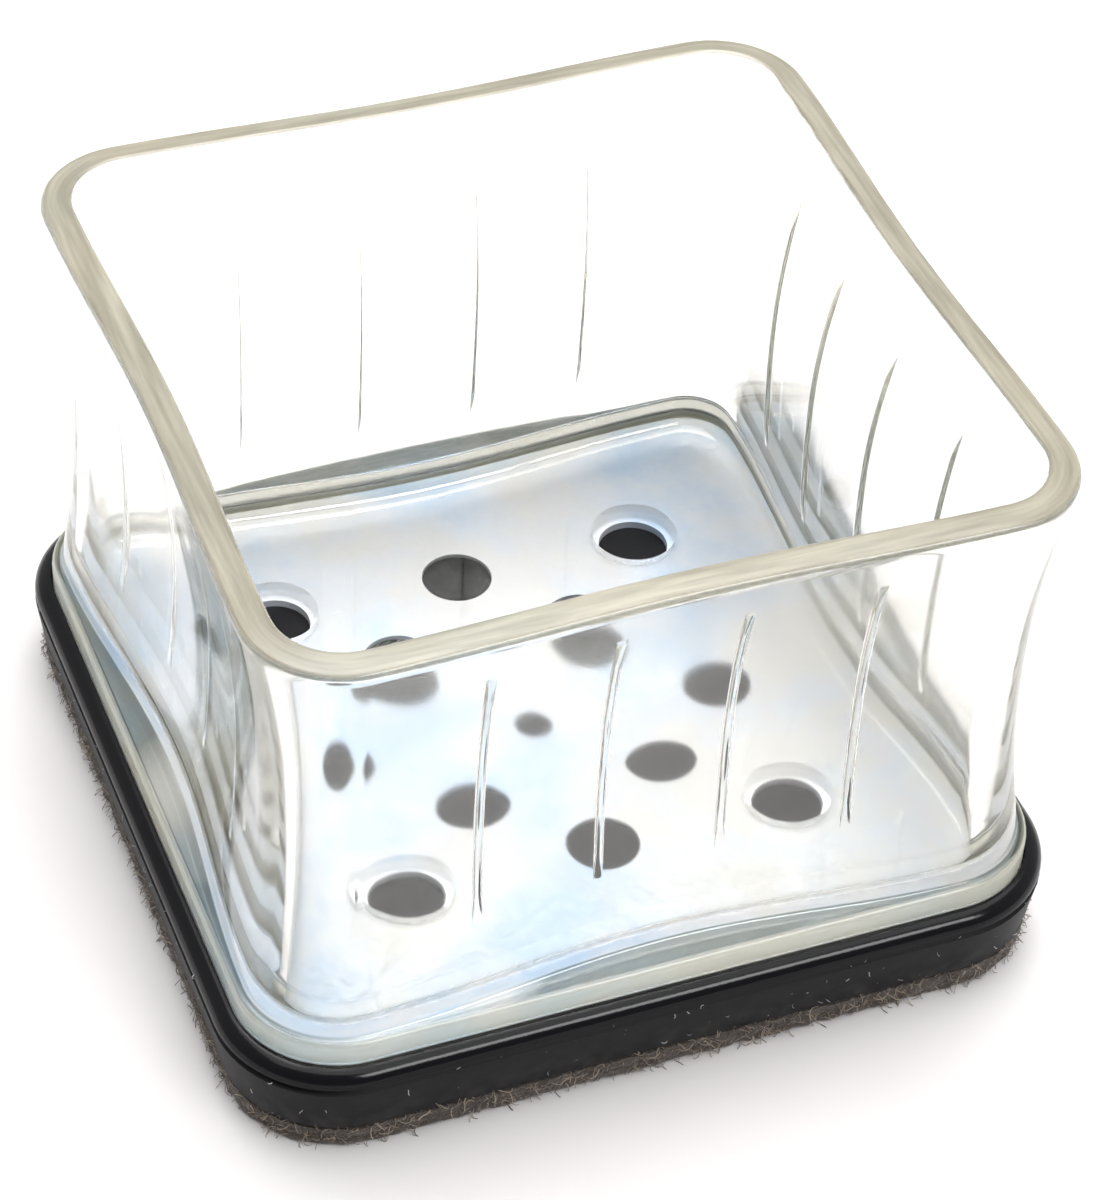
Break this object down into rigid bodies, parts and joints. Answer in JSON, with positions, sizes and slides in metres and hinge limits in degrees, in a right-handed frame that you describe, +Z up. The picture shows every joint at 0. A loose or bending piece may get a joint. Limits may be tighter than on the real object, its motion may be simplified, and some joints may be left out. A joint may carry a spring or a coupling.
{
  "type": "chair leg cap",
  "caption": "Clear square slip-on cap for a chair leg: flared, ribbed sleeve over a perforated steel plate, set in a black tray with a felt foot that protects the floor.",
  "frame": {"origin": "middle of the felt's underside, on the floor that the cap stands on", "axes": "+Z up, out of the sleeve's mouth; X and Y square to the sleeve's walls"},
  "size_m": [0.0508, 0.0508, 0.0354],
  "materials": {
    "clear_vinyl": "clear, glossy, slightly warm at the edges",
    "zinc_steel": "bright zinc plating with a faint iridescent tint",
    "black_vinyl": "glossy bead, satin skirt",
    "adhesive": "thin adhesive film",
    "felt": "needled felt, fuzzy at its edge"
  },
  "bodies": {
    "root": {"clear_sleeve": "clear_vinyl", "steel_plate": "zinc_steel", "base_tray": "black_vinyl", "pad_adhesive": "adhesive", "felt_pad": "felt"}
  },
  "joints": []
}
